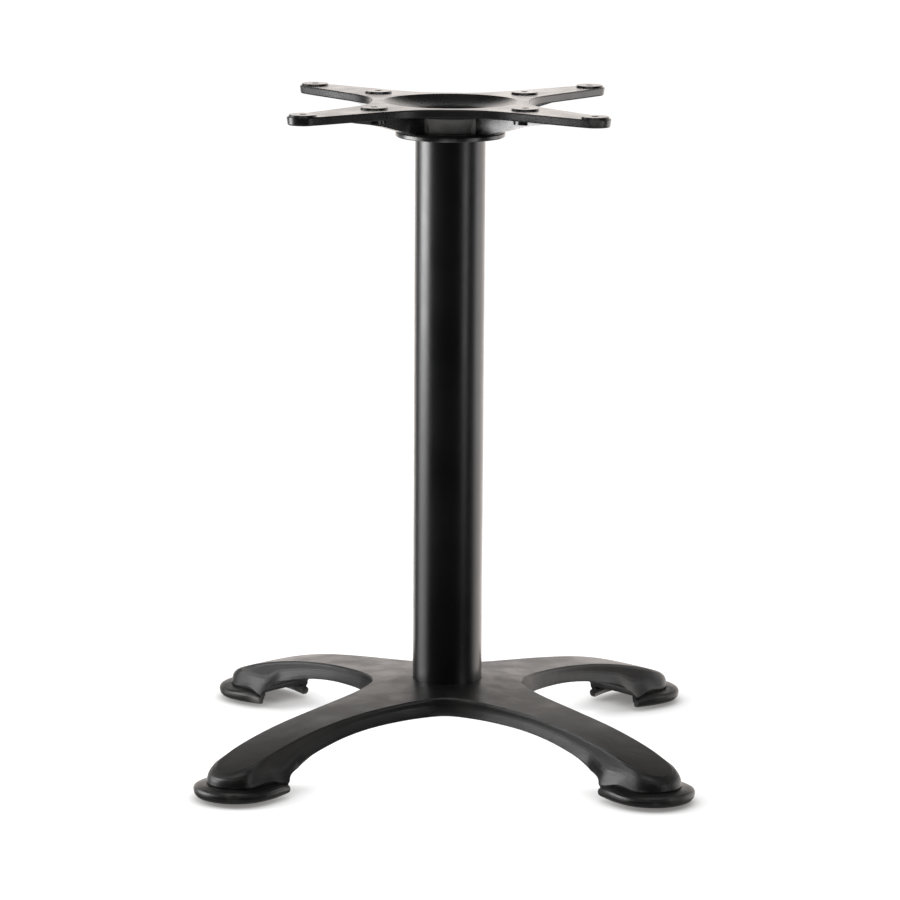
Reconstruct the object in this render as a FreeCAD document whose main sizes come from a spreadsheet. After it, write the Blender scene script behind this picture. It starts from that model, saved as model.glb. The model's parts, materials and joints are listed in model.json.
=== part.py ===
import FreeCAD, Part
import os
import math

# Four star table base: a cast iron four-legged foot, a round steel column and a
# cast iron four-armed top spider, drawn together by one threaded tie rod.
# Millimetres, +Z up. The origin is on the floor, on the column's axis. The
# legs and the spider's arms lie on the diagonals between the X and Y axes.

V = FreeCAD.Vector
doc = FreeCAD.newDocument("four_star_table_base")

# ---------------------------------------------------------------- sizes
sheet = doc.addObject("Spreadsheet::Sheet", "Sizes")
SIZES = [
    ("top_height", 720.0, "floor to the faces of the spider's pads"),
    ("column_dia", 76.0, "outside diameter of the column"),
    ("column_wall", 2.0, "wall of the column"),
    ("column_foot", 77.0, "height of the column's lower end"),
    ("column_head", 682.0, "height of the column's upper end"),
    ("spigot_gap", 0.1, "radial gap between a spigot and the column's bore"),
    ("recess_gap", 0.2, "radial gap between a recess and the column"),
    ("base_spigot_top", 90.0, "height of the top of the foot's spigot"),
    ("head_spigot_low", 668.0, "height of the lower end of the spider's spigot"),
    ("rod_dia", 16.0, "tie rod"),
    ("rod_foot", 43.0, "height of the tie rod's lower end"),
    ("rod_head", 708.2, "height of the tie rod's upper end"),
    ("rod_hole", 17.5, "clearance hole for the tie rod"),
    ("rod_chamfer", 1.5, "chamfer on the tie rod's ends"),
    ("nut_flats", 24.0, "across the flats of the tie rod's nuts"),
    ("nut_height", 13.0, "height of the tie rod's nuts"),
    ("nut_bore", 16.0, "bore of the tie rod's nuts"),
    ("washer_dia", 34.0, "plain washers on the tie rod"),
    ("washer_thick", 3.0, "thickness of the plain washers"),
    ("spring_dia", 27.0, "spring washers on the tie rod"),
    ("spring_thick", 3.5, "thickness of the spring washers"),
    ("washer_bore", 17.0, "bore of all the washers"),
    ("boss_low", 66.0, "height of the underside of the foot's hub boss"),
    ("boss_dia", 92.0, "diameter of the foot's hub boss"),
    ("bowl_floor", 687.0, "height of the floor of the spider's bowl"),
    ("disc_low", 680.0, "height of the underside of the spider's disc"),
    ("disc_thick", 5.5, "thickness of the spider's disc at its rim"),
    ("disc_dia", 119.0, "diameter of the spider's disc"),
    ("arm_top", 718.0, "height of the arms' upper face"),
    ("arm_thick", 9.0, "thickness of the arms"),
    ("arm_end_rad", 17.0, "rounding of the arms' ends"),
    ("pad_square_out", 305.0, "side of the square of the outer screw holes"),
    ("pad_square_in", 160.0, "side of the square of the inner screw holes"),
    ("pad_dia", 28.6, "raised pads round the screw holes, at their faces"),
    ("pad_draft", 1.0, "how much wider the pads' feet are all round"),
    ("screw_hole", 8.0, "screw holes in the spider"),
    ("boss_in_dia", 25.0, "bosses under the inner screw holes"),
    ("boss_in_low", 702.8, "height of the undersides of those bosses"),
    ("rib_thick", 14.0, "thickness of the ribs under the arms"),
    ("leg_wall", 6.0, "wall of the legs"),
    ("leg_roof", 7.0, "thickness of the legs' upper face"),
    ("glide_radius", 318.0, "distance of the levelling glides from the axis"),
    ("glide_pad_dia", 26.0, "pads of the levelling glides"),
    ("glide_pad_high", 8.0, "height of the pads of the levelling glides"),
    ("glide_stud_dia", 8.0, "studs of the levelling glides"),
    ("glide_stud_gap", 0.05, "radial gap round the studs"),
    ("glide_stud_top", 29.0, "height of the studs' upper ends when screwed home"),
    ("glide_boss_dia", 20.0, "bosses that hold the studs"),
    ("glide_boss_low", 8.6, "height of the undersides of those bosses"),
    ("toe_radius", 45.9, "rounding of the feet in plan"),
    ("toe_centre", 310.8, "distance of that rounding's centre from the axis"),
    ("lip_low", 5.0, "height of the undersides of the feet"),
    ("heel_low", 17.7, "height of the lower edge of the wall across each foot's heel"),
    ("heel_in", 263.0, "distance of that wall from the axis"),
    ("heel_thick", 13.0, "thickness of that wall"),
]
sheet.set("A1", "Size in mm")
sheet.set("B1", "Value")
for row, (alias, value, note) in enumerate(SIZES, start=2):
    sheet.set("A%d" % row, note)
    sheet.set("B%d" % row, str(value))
    sheet.setAlias("B%d" % row, alias)
doc.recompute()


def size(alias):
    return float(sheet.get(alias))


# ---------------------------------------------------------------- helpers
def place(obj, x=None, y=None, z=None, turn=None):
    if turn:
        obj.Placement = FreeCAD.Placement(V(0, 0, 0), FreeCAD.Rotation(V(0, 0, 1), turn))
    for axis, expr in (("x", x), ("y", y), ("z", z)):
        if expr is not None:
            obj.setExpression(".Placement.Base.%s" % axis, str(expr))
    return obj


def cylinder(name, radius, height, x=None, y=None, z=None):
    obj = doc.addObject("Part::Cylinder", name)
    obj.setExpression("Radius", radius)
    obj.setExpression("Height", height)
    return place(obj, x, y, z)


def fuse(name, shapes, refine=True):
    obj = doc.addObject("Part::MultiFuse", name)
    obj.Shapes = shapes
    obj.Refine = refine
    return obj


def cut(name, base, tool, refine=False):
    obj = doc.addObject("Part::Cut", name)
    obj.Base = base
    obj.Tool = tool
    obj.Refine = refine
    return obj


def common(name, one, two):
    obj = doc.addObject("Part::MultiCommon", name)
    obj.Shapes = [one, two]
    return obj


def spline(points, closed=False, start=None, end=None):
    curve = Part.BSplineCurve()
    pts = [V(*p) for p in points]
    if start is not None or end is not None:
        curve.interpolate(Points=pts, InitialTangent=V(*start), FinalTangent=V(*end))
    else:
        curve.interpolate(Points=pts, PeriodicFlag=closed)
    return curve


def revolved(name, segments, placement=None):
    # A profile in the XZ plane turned once round the Z axis. Each segment is a
    # list of (radius, height) points: two points make a line, more a spline.
    sketch = doc.addObject("Sketcher::SketchObject", name + "_profile")
    sketch.Placement = FreeCAD.Placement(V(0, 0, 0), FreeCAD.Rotation(V(1, 0, 0), 90))
    for seg in segments:
        if len(seg) == 2:
            sketch.addGeometry(Part.LineSegment(V(seg[0][0], seg[0][1], 0), V(seg[1][0], seg[1][1], 0)), False)
        else:
            sketch.addGeometry(spline([(p[0], p[1], 0) for p in seg]), False)
    turn = doc.addObject("Part::Revolution", name)
    turn.Source = sketch
    turn.Axis = V(0, 0, 1)
    turn.Base = V(0, 0, 0)
    turn.Angle = 360.0
    turn.Solid = True
    return turn


def body(label):
    obj = doc.addObject("PartDesign::Body", label)
    obj.Label = label
    return obj


def plane(owner, role):
    for feature in owner.Origin.OriginFeatures:
        if feature.Role == role:
            return feature
    raise RuntimeError(role)


def sketch_on(owner, name, role, offset=None):
    sk = owner.newObject("Sketcher::SketchObject", name)
    sk.AttachmentSupport = [(plane(owner, role), "")]
    sk.MapMode = "FlatFace"
    if offset is not None:
        sk.setExpression(".AttachmentOffset.Base.z", offset)
    return sk


def circle(sk, diameter, x=None):
    import Sketcher
    c = sk.addGeometry(Part.Circle(V(10.0 if x else 0, 0, 0), V(0, 0, 1), 5.0), False)
    if x:
        sk.addConstraint(Sketcher.Constraint("PointOnObject", c, 3, -1))
        sk.addConstraint(Sketcher.Constraint("DistanceX", -1, 1, c, 3, 10.0))
        sk.setExpression("Constraints[%d]" % (sk.ConstraintCount - 1), x)
    else:
        sk.addConstraint(Sketcher.Constraint("Coincident", c, 3, -1, 1))
    sk.addConstraint(Sketcher.Constraint("Diameter", c, 10.0))
    sk.setExpression("Constraints[%d]" % (sk.ConstraintCount - 1), diameter)
    return c


def pad(owner, sk, length, name="Pad"):
    p = owner.newObject("PartDesign::Pad", name)
    p.Profile = sk
    p.setExpression("Length", length)
    sk.Visibility = False
    return p


def ring(label, outer, bore, thick, z):
    # A flat ring on the column's axis.
    b = body(label)
    sk = sketch_on(b, label + "_sketch", "XY_Plane", z)
    circle(sk, outer)
    circle(sk, bore)
    pad(b, sk, thick, label + "_pad")
    return b


# ---------------------------------------------------------------- column
column = ring("column_tube", "Sizes.column_dia", "Sizes.column_dia - 2 * Sizes.column_wall",
              "Sizes.column_head - Sizes.column_foot", "Sizes.column_foot")

# ---------------------------------------------------------------- tie rod
rod = body("tie_rod")
sk = sketch_on(rod, "tie_rod_sketch", "XY_Plane", "Sizes.rod_foot")
circle(sk, "Sizes.rod_dia")
pad(rod, sk, "Sizes.rod_head - Sizes.rod_foot", "tie_rod_pad")
doc.recompute()
ch = rod.newObject("PartDesign::Chamfer", "tie_rod_chamfer")
ends = [("Edge%d" % (i + 1)) for i, e in enumerate(doc.getObject("tie_rod_pad").Shape.Edges)
        if e.Closed and hasattr(e.Curve, "Radius")]
ch.Base = (doc.getObject("tie_rod_pad"), ends)
ch.setExpression("Size", "Sizes.rod_chamfer")


def nut(label, z):
    # A hexagon nut with its corners turned off at both faces.
    import Sketcher
    flats = size("nut_flats")
    b = body(label)
    sk = sketch_on(b, label + "_hexagon", "XY_Plane", z)
    corner = flats / math.sqrt(3.0)
    pts = [V(corner * math.cos(math.radians(60 * i)), corner * math.sin(math.radians(60 * i)), 0) for i in range(6)]
    for i in range(6):
        sk.addGeometry(Part.LineSegment(pts[i], pts[(i + 1) % 6]), False)
    for i in range(6):
        sk.addConstraint(Sketcher.Constraint("Coincident", i, 2, (i + 1) % 6, 1))
    guide = sk.addGeometry(Part.Circle(V(0, 0, 0), V(0, 0, 1), corner), True)
    sk.addConstraint(Sketcher.Constraint("Coincident", guide, 3, -1, 1))
    for i in range(6):
        sk.addConstraint(Sketcher.Constraint("PointOnObject", i, 1, guide))
    for i in range(5):
        sk.addConstraint(Sketcher.Constraint("Equal", i, i + 1))
    sk.addConstraint(Sketcher.Constraint("PointOnObject", 0, 1, -1))
    sk.addConstraint(Sketcher.Constraint("Diameter", guide, 2 * corner))
    sk.setExpression("Constraints[%d]" % (sk.ConstraintCount - 1), "Sizes.nut_flats * 2 / sqrt(3)")
    circle(sk, "Sizes.nut_bore")
    pad(b, sk, "Sizes.nut_height", label + "_pad")
    doc.recompute()
    # The corners are turned off by a groove whose profile is a small triangle
    # outside the chamfer's cone, at the upper and at the lower face.
    z0 = float(doc.getObject(label + "_hexagon").AttachmentOffset.Base.z)
    high = size("nut_height")
    gr = sketch_on(b, label + "_corners", "XZ_Plane")
    start = flats / 2.0 * 0.99
    reach = corner + 1.0
    drop = (reach - start) * math.tan(math.radians(30))
    n = 0
    for base_z, sign in ((z0 + high, -1), (z0, 1)):
        a, c, d = V(start, base_z - sign * 0.5, 0), V(reach, base_z - sign * 0.5, 0), V(reach, base_z + sign * drop, 0)
        e = V(start, base_z, 0)
        loop = [a, c, d, e]
        for i in range(4):
            gr.addGeometry(Part.LineSegment(loop[i], loop[(i + 1) % 4]), False)
        for i in range(4):
            gr.addConstraint(Sketcher.Constraint("Coincident", n + i, 2, n + (i + 1) % 4, 1))
        n += 4
    g = b.newObject("PartDesign::Groove", label + "_turned")
    g.Profile = gr
    g.ReferenceAxis = (gr, ["V_Axis"])
    g.Angle = 360.0
    gr.Visibility = False
    before = doc.getObject(label + "_pad").Shape.Volume
    doc.recompute()
    if not (b.Shape.Volume < before - 1.0):
        raise RuntimeError(label + ": the corners were not turned off")
    return b


top_washer = ring("top_washer", "Sizes.washer_dia", "Sizes.washer_bore", "Sizes.washer_thick", "Sizes.bowl_floor")
bottom_washer = ring("bottom_washer", "Sizes.washer_dia", "Sizes.washer_bore", "Sizes.washer_thick",
                     "Sizes.boss_low - Sizes.washer_thick")
top_nut = nut("top_nut", "Sizes.bowl_floor + Sizes.washer_thick + Sizes.spring_thick")
bottom_nut = nut("bottom_nut", "Sizes.boss_low - Sizes.washer_thick - Sizes.spring_thick - Sizes.nut_height")


def spring_washer(label, z):
    # A split ring, pressed flat by its nut. The cut through it is slanted.
    b = ring(label, "Sizes.spring_dia", "Sizes.washer_bore", "Sizes.spring_thick", z)
    import Sketcher
    doc.recompute()
    sk = sketch_on(b, label + "_split", "YZ_Plane")
    z0 = float(doc.getObject(label + "_sketch").AttachmentOffset.Base.z)
    t = size("spring_thick")
    pts = [V(-2.6, z0 - 1, 0), V(-0.8, z0 - 1, 0), V(2.6, z0 + t + 1, 0), V(0.8, z0 + t + 1, 0)]
    for i in range(4):
        sk.addGeometry(Part.LineSegment(pts[i], pts[(i + 1) % 4]), False)
    for i in range(4):
        sk.addConstraint(Sketcher.Constraint("Coincident", i, 2, (i + 1) % 4, 1))
    p = b.newObject("PartDesign::Pocket", label + "_cut")
    p.Profile = sk
    p.Length = 40.0
    p.Reversed = True
    sk.Visibility = False
    doc.recompute()
    whole = doc.getObject(label + "_pad").Shape.Volume
    if not (whole * 0.9 < b.Shape.Volume < whole - 5.0):
        raise RuntimeError(label + ": split went wrong")
    return b


doc.recompute()
top_spring = spring_washer("top_spring_washer", "Sizes.bowl_floor + Sizes.washer_thick")
bottom_spring = spring_washer("bottom_spring_washer", "Sizes.boss_low - Sizes.washer_thick - Sizes.spring_thick")

# ---------------------------------------------------------------- levelling glides
# Four glides: a moulded foot pad and the steel stud that screws it into the
# boss inside the toe. They are screwed home here.


def glide(tag, angle):
    import Sketcher
    gx = size("glide_radius") * math.cos(math.radians(angle))
    gy = size("glide_radius") * math.sin(math.radians(angle))
    pad_body = body("glide_pad_" + tag)
    sk = sketch_on(pad_body, "glide_pad_%s_profile" % tag, "XZ_Plane")
    r = size("glide_pad_dia") / 2.0
    hgt = size("glide_pad_high")
    stud_r = size("glide_stud_dia") / 2.0
    # half section: flat tread, rounded edge, conical shoulder, socket for the stud
    sk.addGeometry(Part.LineSegment(V(0, 0, 0), V(r - 1.5, 0, 0)), False)
    sk.addGeometry(Part.LineSegment(V(r - 1.5, 0, 0), V(r, 1.5, 0)), False)
    sk.addGeometry(Part.LineSegment(V(r, 1.5, 0), V(r, hgt - 3.0, 0)), False)
    sk.addGeometry(Part.LineSegment(V(r, hgt - 3.0, 0), V(r - 4.0, hgt, 0)), False)
    sk.addGeometry(Part.LineSegment(V(r - 4.0, hgt, 0), V(stud_r, hgt, 0)), False)
    sk.addGeometry(Part.LineSegment(V(stud_r, hgt, 0), V(stud_r, 2.0, 0)), False)
    sk.addGeometry(Part.LineSegment(V(stud_r, 2.0, 0), V(0, 2.0, 0)), False)
    sk.addGeometry(Part.LineSegment(V(0, 2.0, 0), V(0, 0, 0)), False)
    for i in range(8):
        sk.addConstraint(Sketcher.Constraint("Coincident", i, 2, (i + 1) % 8, 1))
    for i in (0, 4, 6):
        sk.addConstraint(Sketcher.Constraint("Horizontal", i))
    for i in (2, 5, 7):
        sk.addConstraint(Sketcher.Constraint("Vertical", i))
    sk.addConstraint(Sketcher.Constraint("Coincident", 0, 1, -1, 1))
    sk.addConstraint(Sketcher.Constraint("DistanceX", -1, 1, 2, 1, r))
    sk.setExpression("Constraints[%d]" % (sk.ConstraintCount - 1), "Sizes.glide_pad_dia / 2")
    sk.addConstraint(Sketcher.Constraint("DistanceX", -1, 1, 5, 1, stud_r))
    sk.setExpression("Constraints[%d]" % (sk.ConstraintCount - 1), "Sizes.glide_stud_dia / 2")
    sk.addConstraint(Sketcher.Constraint("DistanceY", -1, 1, 4, 1, hgt))
    sk.setExpression("Constraints[%d]" % (sk.ConstraintCount - 1), "Sizes.glide_pad_high")
    rev = pad_body.newObject("PartDesign::Revolution", "glide_pad_%s_turned" % tag)
    rev.Profile = sk
    rev.ReferenceAxis = (sk, ["V_Axis"])
    rev.Angle = 360.0
    sk.Visibility = False

    stud = body("glide_stud_" + tag)
    sk = sketch_on(stud, "glide_stud_%s_sketch" % tag, "XY_Plane", "2.0")
    circle(sk, "Sizes.glide_stud_dia")
    p = pad(stud, sk, "Sizes.glide_stud_top - 2", "glide_stud_%s_pad" % tag)
    doc.recompute()
    c = stud.newObject("PartDesign::Chamfer", "glide_stud_%s_chamfer" % tag)
    top = [("Edge%d" % (i + 1)) for i, e in enumerate(p.Shape.Edges)
           if e.Closed and hasattr(e.Curve, "Radius") and e.CenterOfMass.z > 10]
    c.Base = (p, top)
    c.Size = 1.0
    for b in (pad_body, stud):
        b.setExpression(".Placement.Base.x", "Sizes.glide_radius * cos(%g deg)" % angle)
        b.setExpression(".Placement.Base.y", "Sizes.glide_radius * sin(%g deg)" % angle)
    return pad_body, stud


CORNERS = (("front_left", 225.0), ("front_right", 315.0), ("back_left", 135.0), ("back_right", 45.0))
glides = [glide(tag, angle) for tag, angle in CORNERS]
doc.recompute()

# ---------------------------------------------------------------- shared curves
# Half widths of a leg's upper face, from the notch between two legs to the toe.
LEG = [(58.3, 58.3), (63.0, 54.2), (70.5, 49.6), (80.2, 45.4), (94.0, 40.4), (110.0, 36.4), (130.0, 32.7),
       (150.0, 29.9), (170.0, 28.1), (190.0, 27.0), (210.0, 26.6), (230.0, 26.5), (250.0, 26.55), (270.0, 26.7),
       (290.0, 26.95)]
TOE_R = 27.2
# Height of the upper face over the distance from the axis.
CROWN = [(0.0, 80.6), (38.0, 80.0), (60.0, 78.5), (82.0, 76.4), (100.0, 74.9), (116.0, 73.7), (135.0, 72.4),
         (153.0, 71.0), (172.0, 69.2), (192.0, 66.9), (212.0, 64.2), (232.0, 60.9), (252.0, 56.8), (272.0, 51.9),
         (292.0, 46.3), (312.0, 39.8), (328.0, 34.0), (343.0, 27.4)]
# Height of the arch under the legs, down to the heels of the feet.
ARCH = [(0.0, 57.6), (60.0, 57.5), (87.0, 57.2), (94.0, 56.9), (117.0, 56.0), (140.0, 54.8), (154.0, 53.7),
        (175.0, 51.2), (193.0, 48.2), (213.0, 43.7), (232.7, 38.2), (246.0, 33.4), (259.1, 27.6), (264.0, 24.6),
        (267.6, 21.3), (270.0, 16.8), (271.2, 11.0), (271.6, 5.0)]


def at(table, r):
    # Catmull-Rom value of a table of points at r.
    n = len(table)
    if r <= table[0][0]:
        return table[0][1]
    if r >= table[-1][0]:
        return table[-1][1]
    k = max(i for i in range(n - 1) if table[i][0] <= r)
    (x0, y0), (x1, y1) = table[k], table[k + 1]

    def slope(i):
        a, b = max(i - 1, 0), min(i + 1, n - 1)
        return (table[b][1] - table[a][1]) / (table[b][0] - table[a][0])
    w = x1 - x0
    q = (r - x0) / w
    return ((2 * q ** 3 - 3 * q ** 2 + 1) * y0 + (q ** 3 - 2 * q ** 2 + q) * w * slope(k)
            + (-2 * q ** 3 + 3 * q ** 2) * y1 + (q ** 3 - q ** 2) * w * slope(k + 1))


def half_outline():
    # Points of a leg's edge in plan with their outward normals, from the notch
    # to the middle of the toe.
    centre = size("toe_centre")
    pts = list(LEG)
    for i in range(9):
        a = math.radians(90.0 - 90.0 * i / 8)
        pts.append((centre + TOE_R * math.cos(a), TOE_R * math.sin(a)))
    out = []
    for i, (x, y) in enumerate(pts):
        if i == 0:
            nx, ny = math.sqrt(0.5), math.sqrt(0.5)
        elif i >= len(LEG):
            a = math.radians(90.0 - 90.0 * (i - len(LEG)) / 8)
            nx, ny = math.cos(a), math.sin(a)
        else:
            (ax, ay), (bx, by) = pts[i - 1], pts[i + 1]
            la, lb = math.hypot(x - ax, y - ay), math.hypot(bx - x, by - y)
            tx = (x - ax) / la * lb + (bx - x) / lb * la
            ty = (y - ay) / la * lb + (by - y) / lb * la
            ln = math.hypot(tx, ty)
            nx, ny = -ty / ln, tx / ln
        out.append((x, y, nx, ny))
    return out


def crease(s):
    # Height of the line where a leg's side meets the lip of its foot.
    return at([(240.0, 8.0), (258.0, 11.0), (267.0, 14.4), (275.0, 17.6), (286.0, 19.7), (298.0, 19.4), (308.0, 18.4),
               (318.0, 18.0), (330.0, 18.3), (343.0, 19.2), (400.0, 19.2)], s)


def groove(s):
    # Depth of the narrow groove between a foot's lip and the leg above it.
    return 1.1 * min(1.0, max(0.0, (s - 258.0) / 16.0))


def wall_rows(x, y, nx, ny):
    # The side of a leg at one point of its edge: a broken upper edge, a hollow
    # under it, and a flare down to the lower edge. Rows of (offset, height).
    r = math.hypot(x, y)
    top = at(CROWN, r)
    out = math.hypot(x + 4.5 * nx, y + 4.5 * ny)
    low = crease(x) if out > 271.0 else max(at(ARCH, out), crease(x) if x > 240 else 0.0)
    d = top - low
    toe = min(1.0, max(0.0, (x - 285.0) / 45.0))
    heel = max(0.0, min(1.0, (x - 236.0) / 28.0, (304.0 - x) / 30.0))
    heel = heel * heel * (3.0 - 2.0 * heel)
    fall = (at(CROWN, r - 1.0) - at(CROWN, r + 1.0)) / 2.0 * (x * nx + y * ny) / r
    f1 = min(1.4, 0.16 * d)
    f2 = min(3.0, 0.28 * d)
    f3 = max(f2 + 0.06 * d, 0.39 * d)
    flare = 4.6 + 4.6 * heel
    rows = [(-1.7 - 7.3 * toe, top + 0.5 + 9.0 * fall * toe),
            (-0.3 - 4.9 * toe, top - f1 * (1.0 - toe) + (5.2 * fall - 0.25) * toe),
            (0.1 - 1.9 * toe, top - f2 * (1.0 - toe) + (1.8 * fall - 0.9) * toe),
            (0.1 + 1.0 * toe, top - f3 * (1.0 - toe) - (0.5 + 0.16 * d) * toe),
            (0.6 + 2.3 * toe + 0.2 * heel, top - (0.52 - 0.12 * toe) * d),
            (1.7 + 2.1 * toe + 1.1 * heel, top - (0.66 - 0.04 * toe) * d),
            (3.0 + 1.3 * toe + 3.0 * heel, top - (0.81 + 0.01 * toe) * d), (flare, top - 0.95 * d),
            (flare - 0.1, low - 0.1), (flare - 0.1 - groove(x), low - 0.8), (flare - 0.1 - groove(x), low - 6.0),
            (flare - 0.1 - groove(x), -12.0)]
    level = [(x - nx * (10.0 + 2.0 * toe), y - ny * (10.0 + 2.0 * toe), 98.0)]
    return level + [(x + nx * o, y + ny * o, z) for o, z in rows]


def full_grid(half):
    # Columns of points over one leg, from one notch round the toe to the other.
    mirror = [[(x, -y, z) for (x, y, z) in col] for col in reversed(half[:-1])]
    return half + mirror


def quarter(name, columns):
    # A closed block over one leg's quarter. Each row of the columns runs from
    # notch to notch, is carried a little way into the neighbouring quarters, and
    # is closed behind the axis; a wedge then trims it to the quarter itself.
    wires = []
    for j in range(len(columns[0])):
        pts = [col[j] for col in columns]
        before = [(-y, -x, z) for x, y, z in pts[2:0:-1]]
        after = [(y, x, z) for x, y, z in pts[-2:-4:-1]]
        if pts[0][1] > 0:
            before, after = [(y, x, z) for x, y, z in pts[2:0:-1]], [(-y, -x, z) for x, y, z in pts[-2:-4:-1]]
        pts = before + pts + after
        curve = spline(pts).toShape()
        a, b = V(*pts[-1]), V(*pts[0])
        c, d = V(-15, a.y, a.z), V(-15, b.y, b.z)
        wires.append(Part.Wire([curve, Part.makeLine(a, c), Part.makeLine(c, d), Part.makeLine(d, b)]))
    block = feature(name + "_block", Part.makeLoft(wires, True, True))
    return common(name, block, wedge)


def feature(name, shape):
    obj = doc.addObject("Part::Feature", name)
    obj.Shape = shape
    return obj


def offset_rows(points, rows):
    # rows of (offset along the outward normal, height) at each outline point
    return [[(x + nx * o, y + ny * o, z) for o, z in rows(x, y)] for x, y, nx, ny in points]


def four(name, source, count=4):
    # four copies of a piece, a quarter turn apart, as one solid
    obj = doc.addObject("Part::MultiFuse", name)
    obj.Refine = False
    links = []
    for k in range(count):
        link = doc.addObject("Part::Feature", "%s_%d" % (name, k + 1))
        shape = source.Shape.copy()
        shape.rotate(V(0, 0, 0), V(0, 0, 1), 90.0 * k)
        link.Shape = shape
        links.append(link)
    obj.Shapes = links
    return obj


def foot_plug(name, columns):
    # A closed block under one foot: rows of an open curve round the toe, each
    # closed by a straight line across the heel.
    wires = []
    for j in range(len(columns[0])):
        curve = spline([col[j] for col in columns]).toShape()
        a, b = curve.valueAt(curve.FirstParameter), curve.valueAt(curve.LastParameter)
        wires.append(Part.Wire([curve, Part.makeLine(b, a)]))
    return feature(name, Part.makeLoft(wires, True, True))


wedge_sketch = doc.addObject("Sketcher::SketchObject", "wedge_outline")
for a, b in (((0, 0), (420, 420)), ((420, 420), (420, -420)), ((420, -420), (0, 0))):
    wedge_sketch.addGeometry(Part.LineSegment(V(a[0], a[1], 0), V(b[0], b[1], 0)), False)
wedge = doc.addObject("Part::Extrusion", "wedge")
wedge.Base = wedge_sketch
wedge.DirMode = "Custom"
wedge.Dir = V(0, 0, 1)
wedge.LengthFwd = 760.0
wedge.LengthRev = 30.0
wedge.Solid = True

# ---------------------------------------------------------------- foot casting
# One quarter of the casting: the sides of a leg as a closed block, trimmed below
# by the arch and above by the domed upper face.
leg_sides = quarter("leg_sides", full_grid([wall_rows(*p) for p in half_outline()]))

# The lip round each foot: a rounded bead standing out from the leg's end.
LIP = [(255.0, 36.6), (262.0, 37.2), (270.0, 38.9), (276.0, 40.6), (283.0, 42.4), (292.0, 44.4), (301.0, 45.5)]


def lip_outline():
    centre, rad = size("toe_centre"), size("toe_radius")
    pts = list(LIP) + [(centre + rad * math.cos(math.radians(90.0 - 9.0 * i)),
                        rad * math.sin(math.radians(90.0 - 9.0 * i))) for i in range(11)]
    out = []
    for i, (x, y) in enumerate(pts):
        if i >= len(LIP):
            a = math.radians(90.0 - 9.0 * (i - len(LIP)))
            nx, ny = math.cos(a), math.sin(a)
        else:
            (ax, ay), (bx, by) = pts[max(i - 1, 0)], pts[i + 1]
            ln = math.hypot(bx - ax, by - ay)
            nx, ny = -(by - ay) / ln, (bx - ax) / ln
        out.append((x, y, nx, ny))
    return out


def lip_rows(x, y):
    low = size("lip_low")
    top = crease(x) - groove(x)
    reach = 4.5 + 9.0 * max(0.0, min(1.0, (x - 262.0) / 45.0))
    high = top - low
    return [(-3.6, low - 3.0), (-2.6, low + 0.03 * high), (-0.9, low + 0.17 * high), (-0.1, low + 0.40 * high),
            (-0.1, low + 0.56 * high), (-0.07 * reach - 0.3, low + 0.73 * high),
            (-0.26 * reach - 0.5, low + 0.86 * high), (-0.60 * reach - 0.6, low + 0.95 * high),
            (-reach - 2.8, top - 0.1), (-reach - 6.5, 26.0)]


lip_points = lip_outline()
lip_sector = full_grid(offset_rows(lip_points, lip_rows))
foot_lip = foot_plug("foot_lip", lip_sector)

casting_blank = fuse("casting_blank", [leg_sides, foot_lip], False)
low = size("lip_low")
casting_range = revolved("casting_range", [
    CROWN, [(343.0, 27.4), (366.0, 26.0)], [(366.0, 26.0), (366.0, low)], [(366.0, low), (271.6, low)],
    ARCH[::-1], [(0.0, 57.6), (0.0, 80.6)]])
casting_outside = common("casting_outside", casting_blank, casting_range)

# The hollow under the legs, open beneath, with its roof parallel to the upper face.
wall = size("leg_wall")


def hollow_column(x, y, nx, ny):
    rows = wall_rows(x, y, nx, ny)
    out = []
    for px, py, pz in rows:
        out.append((px - nx * wall, py - ny * wall, pz))
    return out


hollow_sides = quarter("hollow_sides", full_grid([hollow_column(*p) for p in half_outline()]))


def foot_hollow_rows(x, y):
    return [(-7.5, -6.0), (-7.5, 8.5), (-10.0, 11.5), (-17.0, 13.5)]


foot_hollow = foot_plug("foot_hollow", full_grid(offset_rows(lip_points, foot_hollow_rows)))
roof = size("leg_roof")
hollow_range = revolved("hollow_range", [
    [(r, z - roof) for r, z in CROWN], [(343.0, 27.4 - roof), (366.0, 27.4 - roof)],
    [(366.0, 27.4 - roof), (366.0, -8.0)], [(366.0, -8.0), (0.0, -8.0)], [(0.0, -8.0), (0.0, 80.6 - roof)]])
hollow_all = fuse("hollow_all", [hollow_sides, foot_hollow], False)
hollow_run = common("hollow_run", hollow_all, hollow_range)
# a wall across the heel parts the leg's hollow from the foot's
heel_wall = doc.addObject("Part::Box", "heel_wall")
heel_wall.setExpression("Length", "Sizes.heel_thick")
heel_wall.Width = 90.0
heel_wall.Height = 60.0
place(heel_wall, "Sizes.heel_in", "-45", "Sizes.heel_low")
hollow = cut("hollow", hollow_run, heel_wall)
leg_shell = cut("leg_shell", casting_outside, hollow)
doc.recompute()
shell = four("casting_shell", leg_shell)

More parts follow.
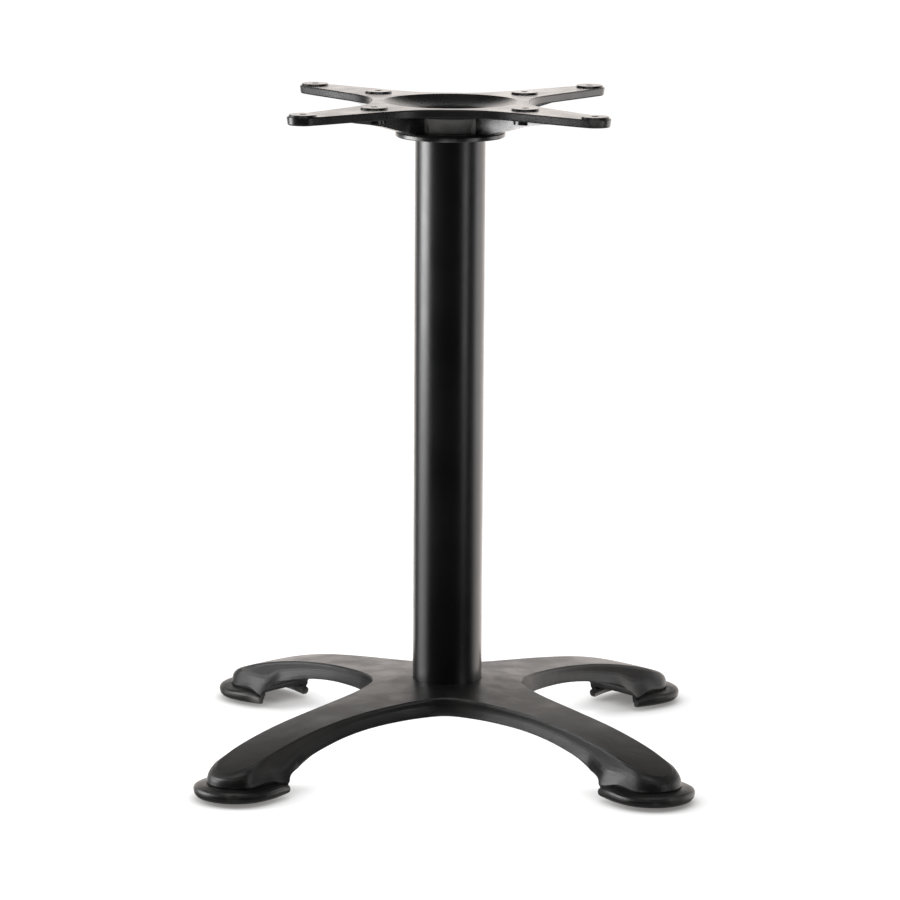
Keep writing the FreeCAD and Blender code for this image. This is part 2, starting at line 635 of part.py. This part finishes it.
hub_boss = cylinder("hub_boss", "Sizes.boss_dia / 2", "Sizes.column_foot - 1 - Sizes.boss_low", z="Sizes.boss_low")
spigot = cylinder("base_spigot", "Sizes.column_dia / 2 - Sizes.column_wall - Sizes.spigot_gap",
                  "Sizes.base_spigot_top - 70", z="70")
glide_bosses = []
for tag, angle in (("a", 0.0), ("b", 90.0), ("c", 180.0), ("d", 270.0)):
    glide_bosses.append(cylinder("glide_boss_" + tag, "Sizes.glide_boss_dia / 2", "34 - Sizes.glide_boss_low",
                                 "Sizes.glide_radius * cos(%g deg)" % angle,
                                 "Sizes.glide_radius * sin(%g deg)" % angle, "Sizes.glide_boss_low"))
seat_ring = cut("seat_ring",
                cylinder("seat_outer", "Sizes.column_dia / 2 + Sizes.recess_gap", "20", z="Sizes.column_foot"),
                cylinder("seat_inner", "Sizes.column_dia / 2 - Sizes.column_wall - Sizes.spigot_gap", "30", z="70"))
seated = cut("casting_seated", fuse("casting_bossed", [shell, hub_boss] + glide_bosses, False), seat_ring)
holes = [cylinder("base_rod_hole", "Sizes.rod_hole / 2", "80", z="30"),
         cylinder("base_spigot_bore", "Sizes.column_dia / 2 - Sizes.column_wall - 6", "20", z="79")]
for tag, angle in (("a", 0.0), ("b", 90.0), ("c", 180.0), ("d", 270.0)):
    holes.append(cylinder("glide_hole_" + tag, "Sizes.glide_stud_dia / 2 + Sizes.glide_stud_gap", "30.5",
                          "Sizes.glide_radius * cos(%g deg)" % angle,
                          "Sizes.glide_radius * sin(%g deg)" % angle, "0"))
base = cut("base_casting", fuse("casting_spigoted", [seated, spigot], False), fuse("base_holes", holes, False))
base.Label = "base_casting"
base.Placement = FreeCAD.Placement(V(0, 0, 0), FreeCAD.Rotation(V(0, 0, 1), 45.0))

# ---------------------------------------------------------------- top spider
# Half widths of an arm from the notch between two arms to the rounding of its end.
ARM = [(60.3, 60.3), (65.5, 54.4), (73.5, 47.2), (84.0, 40.6), (95.0, 35.9), (108.0, 32.2), (125.0, 29.2),
       (145.0, 26.6), (165.0, 24.1), (185.0, 21.6), (201.0, 19.5)]


def arm_outline():
    centre, rad = size("pad_square_out") / math.sqrt(2.0), size("arm_end_rad")
    angles = [82.0 - 82.0 * i / 8 for i in range(9)]
    pts = list(ARM) + [(centre + rad * math.cos(math.radians(a)), rad * math.sin(math.radians(a))) for a in angles]
    out = []
    for i, (x, y) in enumerate(pts):
        if i == 0:
            nx, ny = math.sqrt(0.5), math.sqrt(0.5)
        elif i >= len(ARM):
            a = math.radians(angles[i - len(ARM)])
            nx, ny = math.cos(a), math.sin(a)
        else:
            (ax, ay), (bx, by) = pts[i - 1], pts[i + 1]
            ln = math.hypot(bx - ax, by - ay)
            nx, ny = -(by - ay) / ln, (bx - ax) / ln
        out.append((x, y, nx, ny))
    return out


top = size("arm_top")
under = top - size("arm_thick")
arm_sector = full_grid(offset_rows(arm_outline(), lambda x, y: [
    (-1.1, top), (-0.3, top - 0.4), (0.1, top - 1.3), (-0.7, under + 1.4), (-1.0, under + 0.5), (-1.8, under)]))
arms = quarter("spider_arm", arm_sector)

disc_r, disc_low = size("disc_dia") / 2.0, size("disc_low")
disc_up = disc_low + size("disc_thick")
hub = revolved("spider_hub", [
    [(0.0, disc_low), (disc_r - 1.0, disc_low)], [(disc_r - 1.0, disc_low), (disc_r, disc_low + 1.0)],
    [(disc_r, disc_low + 1.0), (disc_r, disc_up - 1.2)], [(disc_r, disc_up - 1.2), (disc_r - 1.2, disc_up)],
    [(disc_r - 1.2, disc_up), (44.5, disc_up + 0.8), (40.4, disc_up + 2.0), (39.2, disc_up + 4.4),
     (40.5, disc_up + 9.0), (42.2, disc_up + 13.8), (44.2, disc_up + 17.3), (49.0, under - 4.1), (55.5, under - 3.1),
     (63.0, under - 2.0), (68.0, under - 1.2)],
    [(68.0, under - 1.2), (70.5, under + 2.0)], [(70.5, under + 2.0), (69.0, top - 3.0)],
    [(69.0, top - 3.0), (0.0, top - 3.0)],
    [(0.0, top - 3.0), (0.0, disc_low)]])

rib_sketch = doc.addObject("Sketcher::SketchObject", "rib_profile")
rib_sketch.Placement = FreeCAD.Placement(V(0, 0, 0), FreeCAD.Rotation(V(1, 0, 0), 90))
rib_points = [(30.0, disc_low + 3.0), (56.0, disc_low + 4.5), (61.0, 686.6), (70.0, 689.4), (82.0, 692.3),
              (95.0, 695.8), (108.5, 699.2), (128.0, 702.7), (147.7, 705.6), (168.0, under + 0.5), (168.0, 712.0),
              (30.0, 712.0)]
for i in range(len(rib_points)):
    a, b = rib_points[i], rib_points[(i + 1) % len(rib_points)]
    rib_sketch.addGeometry(Part.LineSegment(V(a[0], a[1], 0), V(b[0], b[1], 0)), False)
rib = doc.addObject("Part::Extrusion", "rib")
rib.Base = rib_sketch
rib.DirMode = "Normal"
rib.setExpression("LengthFwd", "Sizes.rib_thick / 2")
rib.setExpression("LengthRev", "Sizes.rib_thick / 2")
rib.Solid = True
hub_quarter = common("spider_hub_quarter", hub, wedge)
arm_whole = fuse("arm_whole", [arms, hub_quarter, rib], False)

spider_pads, spider_holes = [], []
for ring_name in ("pad_square_in", "pad_square_out"):
    for k in range(4):
        px = "Sizes.%s / sqrt(2) * cos(%d deg)" % (ring_name, 90 * k)
        py = "Sizes.%s / sqrt(2) * sin(%d deg)" % (ring_name, 90 * k)
        tag = "%s_%d" % (ring_name, k + 1)
        raised = doc.addObject("Part::Cone", "raised_" + tag)
        raised.setExpression("Radius1", "Sizes.pad_dia / 2 + Sizes.pad_draft")
        raised.setExpression("Radius2", "Sizes.pad_dia / 2")
        raised.setExpression("Height", "Sizes.top_height - Sizes.arm_top")
        spider_pads.append(place(raised, px, py, "Sizes.arm_top"))
        spider_holes.append(cylinder("hole_" + tag, "Sizes.screw_hole / 2", "40", px, py, "Sizes.top_height - 30"))

for k in range(4):
    spider_pads.append(cylinder("under_boss_%d" % (k + 1), "Sizes.boss_in_dia / 2",
                                "Sizes.arm_top - 3 - Sizes.boss_in_low",
                                "Sizes.pad_square_in / sqrt(2) * cos(%d deg)" % (90 * k),
                                "Sizes.pad_square_in / sqrt(2) * sin(%d deg)" % (90 * k), "Sizes.boss_in_low"))

head_spigot = cylinder("head_spigot", "Sizes.column_dia / 2 - Sizes.column_wall - Sizes.spigot_gap",
                       "Sizes.disc_low + 3 - Sizes.head_spigot_low", z="Sizes.head_spigot_low")
floor = size("bowl_floor")
bowl = revolved("bowl", [
    [(0.0, floor), (30.0, floor)],
    [(30.0, floor), (32.4, floor + 1.0), (33.6, floor + 4.0), (34.3, floor + 9.0), (35.6, floor + 13.5),
     (38.2, floor + 17.0), (42.5, floor + 19.8), (49.0, top - 9.2), (57.0, top - 7.0), (65.0, top - 4.1), (73.0, top)],
    [(73.0, top), (75.5, top + 1.1)], [(75.5, top + 1.1), (75.5, 730.0)], [(75.5, 730.0), (0.0, 730.0)],
    [(0.0, 730.0), (0.0, floor)]])
head_recess = cut("head_recess",
                  cylinder("recess_outer", "Sizes.column_dia / 2 + Sizes.recess_gap",
                           "Sizes.column_head - 660", z="660"),
                  cylinder("recess_inner", "Sizes.column_dia / 2 - Sizes.column_wall - Sizes.spigot_gap", "40", z="650"))
arm_open = cut("arm_open", arm_whole, bowl)
doc.recompute()
spider_blank = four("spider_blank", arm_open)
spider_open = cut("spider_open", fuse("spider_spigoted", [spider_blank, head_spigot], False), head_recess)
spider_raised = fuse("spider_raised", [spider_open] + spider_pads, False)
spider_holes.append(cylinder("head_rod_hole", "Sizes.rod_hole / 2", "60", z="650"))
spider_holes.append(cylinder("head_spigot_bore", "Sizes.column_dia / 2 - Sizes.column_wall - 6", "12", z="664"))
spider = cut("top_spider", spider_raised, fuse("spider_holes", spider_holes, False))
spider.Label = "top_spider"
spider.Placement = FreeCAD.Placement(V(0, 0, 0), FreeCAD.Rotation(V(0, 0, 1), 45.0))
doc.recompute()

# ---------------------------------------------------------------- checks and output
NODES = [base, column, spider, rod, top_nut, top_spring, top_washer, bottom_nut, bottom_spring, bottom_washer]
for pad_body, stud_body in glides:
    NODES += [pad_body, stud_body]
for obj in doc.Objects:
    if "Invalid" in obj.State or "Error" in obj.State:
        raise RuntimeError("%s: %s" % (obj.Name, obj.State))
os.makedirs("parts", exist_ok=True)
for node in NODES:
    shape = node.Shape
    if shape.isNull() or not shape.isValid():
        raise RuntimeError(node.Label + " has no valid shape")
    if len(shape.Solids) != 1:
        raise RuntimeError("%s has %d solids" % (node.Label, len(shape.Solids)))
    print("%-24s %10.0f mm3  %s" % (node.Label, shape.Volume, shape.BoundBox))
for node in NODES:
    node.Shape.exportStep(os.path.join("parts", node.Label + ".step"))
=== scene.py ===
import bpy
import json
import math
from mathutils import Matrix, Vector

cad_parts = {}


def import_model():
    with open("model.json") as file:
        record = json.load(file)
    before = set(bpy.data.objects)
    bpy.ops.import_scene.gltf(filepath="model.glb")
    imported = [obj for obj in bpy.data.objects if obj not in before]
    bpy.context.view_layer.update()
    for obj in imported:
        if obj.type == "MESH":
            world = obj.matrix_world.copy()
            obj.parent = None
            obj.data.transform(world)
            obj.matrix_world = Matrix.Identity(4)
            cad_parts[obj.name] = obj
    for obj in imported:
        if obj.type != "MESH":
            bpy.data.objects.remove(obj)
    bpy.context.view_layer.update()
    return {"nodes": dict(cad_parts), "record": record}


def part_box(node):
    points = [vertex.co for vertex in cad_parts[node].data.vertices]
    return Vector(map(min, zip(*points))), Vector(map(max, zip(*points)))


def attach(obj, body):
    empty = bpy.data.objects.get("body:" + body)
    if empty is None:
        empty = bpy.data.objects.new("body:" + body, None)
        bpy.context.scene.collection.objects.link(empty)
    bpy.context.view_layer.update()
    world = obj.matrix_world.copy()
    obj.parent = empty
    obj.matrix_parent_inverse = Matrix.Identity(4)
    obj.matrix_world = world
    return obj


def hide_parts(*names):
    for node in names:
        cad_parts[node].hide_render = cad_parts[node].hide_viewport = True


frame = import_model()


# ---------------------------------------------------------------- materials
class Nodes:
    # A few short hands for building a node tree.
    def __init__(self, tree):
        self.tree = tree

    def new(self, kind, **inputs):
        node = self.tree.nodes.new(kind)
        for key, value in inputs.items():
            name = key.replace("_", " ")
            if hasattr(node, key) and name not in node.inputs:
                setattr(node, key, value)
            else:
                node.inputs[name].default_value = value
        return node

    def link(self, a, b):
        self.tree.links.new(a, b)

    def math(self, op, a, b=None, c=None, clamp=False):
        node = self.tree.nodes.new("ShaderNodeMath")
        node.operation = op
        node.use_clamp = clamp
        for i, v in enumerate((a, b, c)):
            if v is None:
                continue
            if isinstance(v, (int, float)):
                node.inputs[i].default_value = v
            else:
                self.link(v, node.inputs[i])
        return node.outputs[0]

    def smooth(self, value, lo, hi, to_lo=0.0, to_hi=1.0):
        node = self.tree.nodes.new("ShaderNodeMapRange")
        node.interpolation_type = "SMOOTHSTEP"
        self.link(value, node.inputs["Value"])
        node.inputs["From Min"].default_value = lo
        node.inputs["From Max"].default_value = hi
        node.inputs["To Min"].default_value = to_lo
        node.inputs["To Max"].default_value = to_hi
        return node.outputs["Result"]

    def noise(self, coord, scale, detail=4.0, rough=0.5, lacunarity=2.0):
        node = self.tree.nodes.new("ShaderNodeTexNoise")
        self.link(coord, node.inputs["Vector"])
        node.inputs["Scale"].default_value = scale
        node.inputs["Detail"].default_value = detail
        node.inputs["Roughness"].default_value = rough
        node.inputs["Lacunarity"].default_value = lacunarity
        return node.outputs["Fac"]

    def mix(self, fac, a, b):
        node = self.tree.nodes.new("ShaderNodeMix")
        node.data_type = "RGBA"
        if isinstance(fac, (int, float)):
            node.inputs["Factor"].default_value = fac
        else:
            self.link(fac, node.inputs["Factor"])
        for i, v in ((6, a), (7, b)):
            if isinstance(v, tuple):
                node.inputs[i].default_value = (*v, 1.0)
            else:
                self.link(v, node.inputs[i])
        return node.outputs[2]

    def bump(self, height, strength, distance, normal=None):
        node = self.tree.nodes.new("ShaderNodeBump")
        node.inputs["Strength"].default_value = strength
        node.inputs["Distance"].default_value = distance
        self.link(height, node.inputs["Height"])
        if normal is not None:
            self.link(normal, node.inputs["Normal"])
        return node.outputs["Normal"]


def material(name):
    mat = bpy.data.materials.new(name)
    mat.use_nodes = True
    shader = mat.node_tree.nodes["Principled BSDF"]
    n = Nodes(mat.node_tree)
    coord = n.new("ShaderNodeTexCoord").outputs["Object"]
    return mat, n, shader, coord


def coated(name, dark, light, rough_lo, rough_hi, grain, grain_depth, cast_depth, level, wear=0.5,
           bare=(0.16, 0.155, 0.15), painted_light_zone=None):
    # Black powder coat over iron or steel: a fine pebbled skin, broad unevenness of
    # the casting beneath, cloudy gloss, and a little rubbing on the outer edges.
    mat, n, shader, coord = material(name)
    cloud = n.noise(coord, 9.0, 3.0, 0.55)
    fine = n.noise(coord, grain, 2.0, 0.5)
    speck = n.noise(coord, grain * 2.7, 1.0, 0.4)
    patch = n.noise(coord, 38.0, 3.0, 0.6)
    colour = n.mix(n.smooth(cloud, 0.35, 0.68), dark, light)
    geo = n.new("ShaderNodeNewGeometry")
    edge = n.smooth(geo.outputs["Pointiness"], 0.515, 0.60)
    rub = n.math("MULTIPLY", edge, n.smooth(patch, 0.46, 0.66))
    rub = n.math("MULTIPLY", rub, wear)
    if wear:
        colour = n.mix(rub, colour, bare)
    dust = n.math("MULTIPLY", n.smooth(speck, 0.60, 0.76), 0.22)
    colour = n.mix(dust, colour, tuple(min(1.0, c * 2.2) for c in light))
    rough = n.smooth(n.math("ADD", n.math("MULTIPLY", cloud, 0.6), n.math("MULTIPLY", patch, 0.4)), 0.36, 0.62,
                     rough_lo, rough_hi)
    if painted_light_zone:
        # painted light: within a radius and two heights (the cup below the arms) the colour is made lighter, standing
        # in for light that the arms and ribs keep from it; rougher there too
        split = n.new("ShaderNodeSeparateXYZ")
        n.link(coord, split.inputs[0])
        x, y, z = split.outputs
        away = n.math("SQRT", n.math("ADD", n.math("MULTIPLY", x, x), n.math("MULTIPLY", y, y)))
        painted_light = n.math("MULTIPLY", n.smooth(z, painted_light_zone[1], painted_light_zone[1] + 0.001),
                         n.smooth(z, painted_light_zone[2] - 0.002, painted_light_zone[2], 1.0, 0.0))
        painted_light = n.math("MULTIPLY", painted_light, n.smooth(away, painted_light_zone[0] - 0.002, painted_light_zone[0], 1.0, 0.0))
        painted_light = n.math("MULTIPLY", painted_light, n.smooth(patch, 0.25, 0.65, 0.6, 1.0))
        # painted light: the lighter colour laid over that zone
        colour = n.mix(painted_light, colour, (0.090, 0.088, 0.086))
        rough = n.math("ADD", rough, n.math("MULTIPLY", painted_light, 0.22), clamp=True)
    n.link(colour, shader.inputs["Base Color"])
    if wear:
        rough = n.math("SUBTRACT", rough, n.math("MULTIPLY", rub, 0.08), clamp=True)
    n.link(rough, shader.inputs["Roughness"])
    shader.inputs["Specular IOR Level"].default_value = level
    first = n.bump(n.noise(coord, 55.0, 3.0, 0.55), 1.0, cast_depth)
    second = n.bump(n.math("ADD", n.math("MULTIPLY", fine, 0.7), n.math("MULTIPLY", speck, 0.3)), 1.0, grain_depth,
                    first)
    n.link(second, shader.inputs["Normal"])
    return mat


def steel(name):
    # Zinc plate: bright, slightly clouded, with fine turning lines.
    mat, n, shader, coord = material(name)
    cloud = n.noise(coord, 160.0, 4.0, 0.6)
    fine = n.noise(coord, 900.0, 2.0, 0.5)
    colour = n.mix(n.smooth(cloud, 0.35, 0.7), (0.50, 0.50, 0.48), (0.70, 0.70, 0.67))
    # painted shade: the colour darkens towards brown-grey where the surface is hollow, such as the thread roots
    geo = n.new("ShaderNodeNewGeometry")
    colour = n.mix(n.smooth(geo.outputs["Pointiness"], 0.42, 0.49, 0.55, 0.0), colour, (0.20, 0.19, 0.17))
    n.link(colour, shader.inputs["Base Color"])
    shader.inputs["Metallic"].default_value = 1.0
    n.link(n.smooth(cloud, 0.3, 0.7, 0.24, 0.42), shader.inputs["Roughness"])
    n.link(n.bump(fine, 0.6, 0.00004), shader.inputs["Normal"])
    return mat


def plastic(name):
    # Moulded black plastic with a fine spark-eroded skin, scuffed at its edges.
    mat, n, shader, coord = material(name)
    skin = n.noise(coord, 1500.0, 2.0, 0.5)
    cloud = n.noise(coord, 60.0, 3.0, 0.6)
    colour = n.mix(n.smooth(cloud, 0.35, 0.7), (0.012, 0.012, 0.013), (0.030, 0.030, 0.030))
    geo = n.new("ShaderNodeNewGeometry")
    scuff = n.math("MULTIPLY", n.smooth(geo.outputs["Pointiness"], 0.52, 0.60), n.smooth(cloud, 0.45, 0.6))
    colour = n.mix(n.math("MULTIPLY", scuff, 0.5), colour, (0.10, 0.10, 0.10))
    n.link(colour, shader.inputs["Base Color"])
    n.link(n.smooth(cloud, 0.3, 0.7, 0.48, 0.62), shader.inputs["Roughness"])
    n.link(n.bump(skin, 0.7, 0.00006), shader.inputs["Normal"])
    return mat


CAST = coated("cast_black", (0.0024, 0.0023, 0.0022), (0.0052, 0.0050, 0.0048), 0.35, 0.46, 600.0, 0.00015, 0.00030,
              0.38, wear=0.5)
# the spider's cup below the arms gets painted light: a lighter colour within 47 mm of the axis, between two heights
SPIDER = coated("spider_black", (0.0026, 0.0026, 0.0027), (0.0054, 0.0054, 0.0054), 0.22, 0.31, 1000.0, 0.000016,
                0.00010, 0.50, wear=0.5, painted_light_zone=(0.047, 0.6862, 0.7040))
TUBE = coated("tube_black", (0.0014, 0.0014, 0.0015), (0.0024, 0.0024, 0.0025), 0.29, 0.34, 1150.0, 0.00003,
              0.00004, 0.50, wear=0.0)
STEEL = steel("zinc_plate")
PLASTIC = plastic("moulded_black")

FINISH = {
    "casting_black": CAST,
    "column_black": TUBE,
    "spider_black": SPIDER,
    "zinc_steel": STEEL,
    "glide_plastic": PLASTIC,
}
for part in frame["record"]["subparts"]:
    node = frame["nodes"][part["node"]]
    if not node.material_slots:
        node.data.materials.append(None)
    for entry in node.material_slots:
        entry.material = FINISH[part["material_slot"]]


# ---------------------------------------------------------------- threads
def threaded(node, body, slot, pitch, cut, spans, bevel, around):
    # A rod with real helical threads over the given spans of height, standing
    # exactly where the CAD's plain rod stands. Metric form: flanks of 60 degrees.
    lo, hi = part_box(node)
    cx, cy, radius = (lo.x + hi.x) / 2, (lo.y + hi.y) / 2, (hi.x - lo.x) / 2
    levels = {lo.z, hi.z, lo.z + bevel[0], hi.z - bevel[1]}
    for a, b in spans:
        count = int(round((b - a) / pitch * 16))
        levels.update(a + (b - a) * k / count for k in range(count + 1))
    levels = sorted(z for z in levels if lo.z <= z <= hi.z)
    rows = [z for k, z in enumerate(levels) if k == 0 or z - levels[k - 1] > 1e-6]

    def reach(z, share):
        r = radius
        for a, b in spans:
            if a < z < b:
                phase = (z / pitch - share) % 1.0
                phase = min(phase, 1.0 - phase)
                sink = min(1.0, max(0.0, (phase - 0.0625) / 0.3125))
                fade = min(1.0, (z - a) / pitch if a > lo.z + 1e-6 else 1.0, (b - z) / pitch if b < hi.z - 1e-6 else 1.0)
                r = radius - cut * sink * fade
        for size, gap in ((bevel[0], z - lo.z), (bevel[1], hi.z - z)):
            if gap < size:
                r = min(r, radius - (size - gap))
        return r

    verts, faces = [], []
    for z in rows:
        for i in range(around):
            turn = 2 * math.pi * i / around
            r = reach(z, i / around)
            verts.append((cx + r * math.cos(turn), cy + r * math.sin(turn), z))
    for k in range(len(rows) - 1):
        for i in range(around):
            a, b = k * around + i, k * around + (i + 1) % around
            faces.append((a, b, b + around, a + around))
    faces.append(tuple(reversed(range(around))))
    faces.append(tuple(range((len(rows) - 1) * around, len(rows) * around)))
    mesh = bpy.data.meshes.new(node + "_threaded")
    mesh.from_pydata(verts, [], faces)
    mesh.polygons.foreach_set("use_smooth", [len(f) == 4 for f in faces])
    mesh.materials.append(FINISH[slot])
    piece = bpy.data.objects.new(node + "_threaded", mesh)
    bpy.context.scene.collection.objects.link(piece)
    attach(piece, body)
    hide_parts(node)
    return piece


low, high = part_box("tie_rod")
threaded("tie_rod", "pedestal", "zinc_steel", 0.002, 0.00123,
         [(low.z, low.z + 0.026), (high.z - 0.026, high.z)], (0.0015, 0.0015), 48)
for corner in ("front_left", "front_right", "back_left", "back_right"):
    low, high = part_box("glide_stud_" + corner)
    threaded("glide_stud_" + corner, "glide_" + corner, "zinc_steel", 0.00125, 0.00077,
             [(low.z + 0.004, high.z)], (0.0, 0.001), 32)


# ---------------------------------------------------------------- stage
def stage():
    mesh = bpy.data.meshes.new("studio_floor")
    r, count = 2.6, 96
    verts = [(r * math.cos(2 * math.pi * i / count), r * math.sin(2 * math.pi * i / count), 0.0) for i in range(count)]
    mesh.from_pydata(verts, [], [list(range(count))])
    floor = bpy.data.objects.new("studio_floor", mesh)
    bpy.context.scene.collection.objects.link(floor)
    mat, n, shader, coord = material("floor_white")
    tone = n.noise(coord, 3.0, 2.0, 0.5)
    n.link(n.mix(tone, (0.27, 0.27, 0.27), (0.30, 0.30, 0.30)), shader.inputs["Base Color"])
    shader.inputs["Roughness"].default_value = 0.9
    shader.inputs["Specular IOR Level"].default_value = 0.1
    # soft contact shadows close to whatever stands on the floor
    near = n.new("ShaderNodeAmbientOcclusion", samples=12)
    near.inputs["Distance"].default_value = 0.045
    shade = n.math("POWER", near.outputs["AO"], 1.6)
    n.link(n.mix(shade, (0.15, 0.145, 0.14), (1.0, 1.0, 1.0)), shader.inputs["Emission Color"])
    shader.inputs["Emission Strength"].default_value = 0.93
    mesh.materials.append(mat)
    floor.visible_glossy = False


stage()


def softbox(name, place, target, width, height, radiance):
    data = bpy.data.lights.new(name, "AREA")
    data.shape = "RECTANGLE"
    data.size = width
    data.size_y = height
    data.energy = radiance * width * height * 4.0
    lamp = bpy.data.objects.new(name, data)
    bpy.context.scene.collection.objects.link(lamp)
    lamp.location = place
    aim = (Vector(target) - Vector(place)).normalized()
    lamp.rotation_euler = aim.to_track_quat("-Z", "Y").to_euler()
    lamp.visible_camera = False
    return lamp


softbox("key_left", (-1.65, -0.02, 0.86), (0.0, 0.0, 0.86), 0.86, 1.30, 8.7)
softbox("strip_right", (1.75, -1.30, 0.60), (0.0, 0.0, 0.60), 0.52, 1.20, 2.7)
fill = softbox("fill_front", (-1.6, -2.4, 0.55), (0.0, 0.0, 0.65), 1.2, 1.2, 10.0)
fill.visible_glossy = False
low = softbox("low_right", (1.20, 0.25, 0.35), (0.2, 0.15, 0.10), 0.5, 0.6, 0.9)
low.data.color = (0.88, 0.93, 1.0)
softbox("overhead", (0.0, -0.8, 3.4), (0.0, 0.0, 0.0), 3.0, 3.0, 1.25)


def world():
    scene = bpy.context.scene
    scene.world = bpy.data.worlds.new("studio")
    scene.world.use_nodes = True
    tree = scene.world.node_tree
    tree.nodes.clear()
    n = Nodes(tree)
    ray = n.new("ShaderNodeTexCoord").outputs["Generated"]
    parts = n.new("ShaderNodeSeparateXYZ")
    n.link(ray, parts.inputs[0])
    x, y, z = parts.outputs
    # degrees round from the side that the photograph shows, through +X
    turn = n.math("MULTIPLY", n.math("ARCTAN2", x, n.math("MULTIPLY", y, -1.0)), 180.0 / math.pi)
    turn = n.math("MODULO", n.math("ADD", turn, 360.0), 360.0)
    wall = n.math("MULTIPLY", n.smooth(turn, 84.0, 110.0), n.smooth(turn, 205.0, 230.0, 1.0, 0.0))
    wall = n.math("MULTIPLY", wall, n.smooth(z, 0.30, 0.56, 1.0, 0.0))
    wall = n.math("MULTIPLY", wall, n.smooth(z, -0.42, -0.28))
    light = n.math("ADD", n.math("MULTIPLY", wall, n.smooth(z, -0.24, -0.08, 2.7, 1.9)), 0.006)
    light = n.math("ADD", light, n.smooth(z, 0.25, 0.65, 0.0, 0.07))
    # the lit table: seen low down on the left, and close in all round
    left = n.math("MULTIPLY", n.smooth(turn, 240.0, 258.0), n.smooth(turn, 274.0, 296.0, 1.0, 0.0))
    left = n.math("MULTIPLY", left, n.smooth(z, -0.09, -0.02, 1.0, 0.0))
    left = n.math("MULTIPLY", left, n.smooth(z, -0.31, -0.15))
    light = n.math("ADD", light, n.math("MULTIPLY", left, 6.0))
    light = n.math("ADD", light, n.smooth(z, -0.60, -0.36, 0.34, 0.0))
    set_light = n.new("ShaderNodeBackground")
    n.link(n.mix(wall, (1.0, 1.0, 1.0), (1.0, 0.935, 0.89)), set_light.inputs["Color"])
    n.link(light, set_light.inputs["Strength"])
    seen = n.new("ShaderNodeBackground")
    seen.inputs["Strength"].default_value = 1.3
    mix = n.new("ShaderNodeMixShader")
    n.link(n.new("ShaderNodeLightPath").outputs["Is Camera Ray"], mix.inputs[0])
    n.link(set_light.outputs[0], mix.inputs[1])
    n.link(seen.outputs[0], mix.inputs[2])
    out = n.new("ShaderNodeOutputWorld")
    n.link(mix.outputs[0], out.inputs["Surface"])
    scene.view_settings.view_transform = "Standard"
    scene.view_settings.look = "None"
    scene.view_settings.exposure = 0.0


world()


def camera():
    data = bpy.data.cameras.new("photo_camera")
    data.lens = 174.69
    data.sensor_width = 36.0
    data.sensor_fit = "HORIZONTAL"
    data.clip_start = 0.05
    data.clip_end = 60.0
    cam = bpy.data.objects.new("photo_camera", data)
    bpy.context.scene.collection.objects.link(cam)
    turn = (Matrix.Rotation(math.radians(0.6133), 4, "Z") @ Matrix.Rotation(math.radians(90.0 - 10.908), 4, "X")
            @ Matrix.Rotation(math.radians(0.3619), 4, "Z"))
    cam.matrix_world = Matrix.Translation((0.0519, -4.6911, 1.2392)) @ turn
    bpy.context.scene.camera = cam


camera()
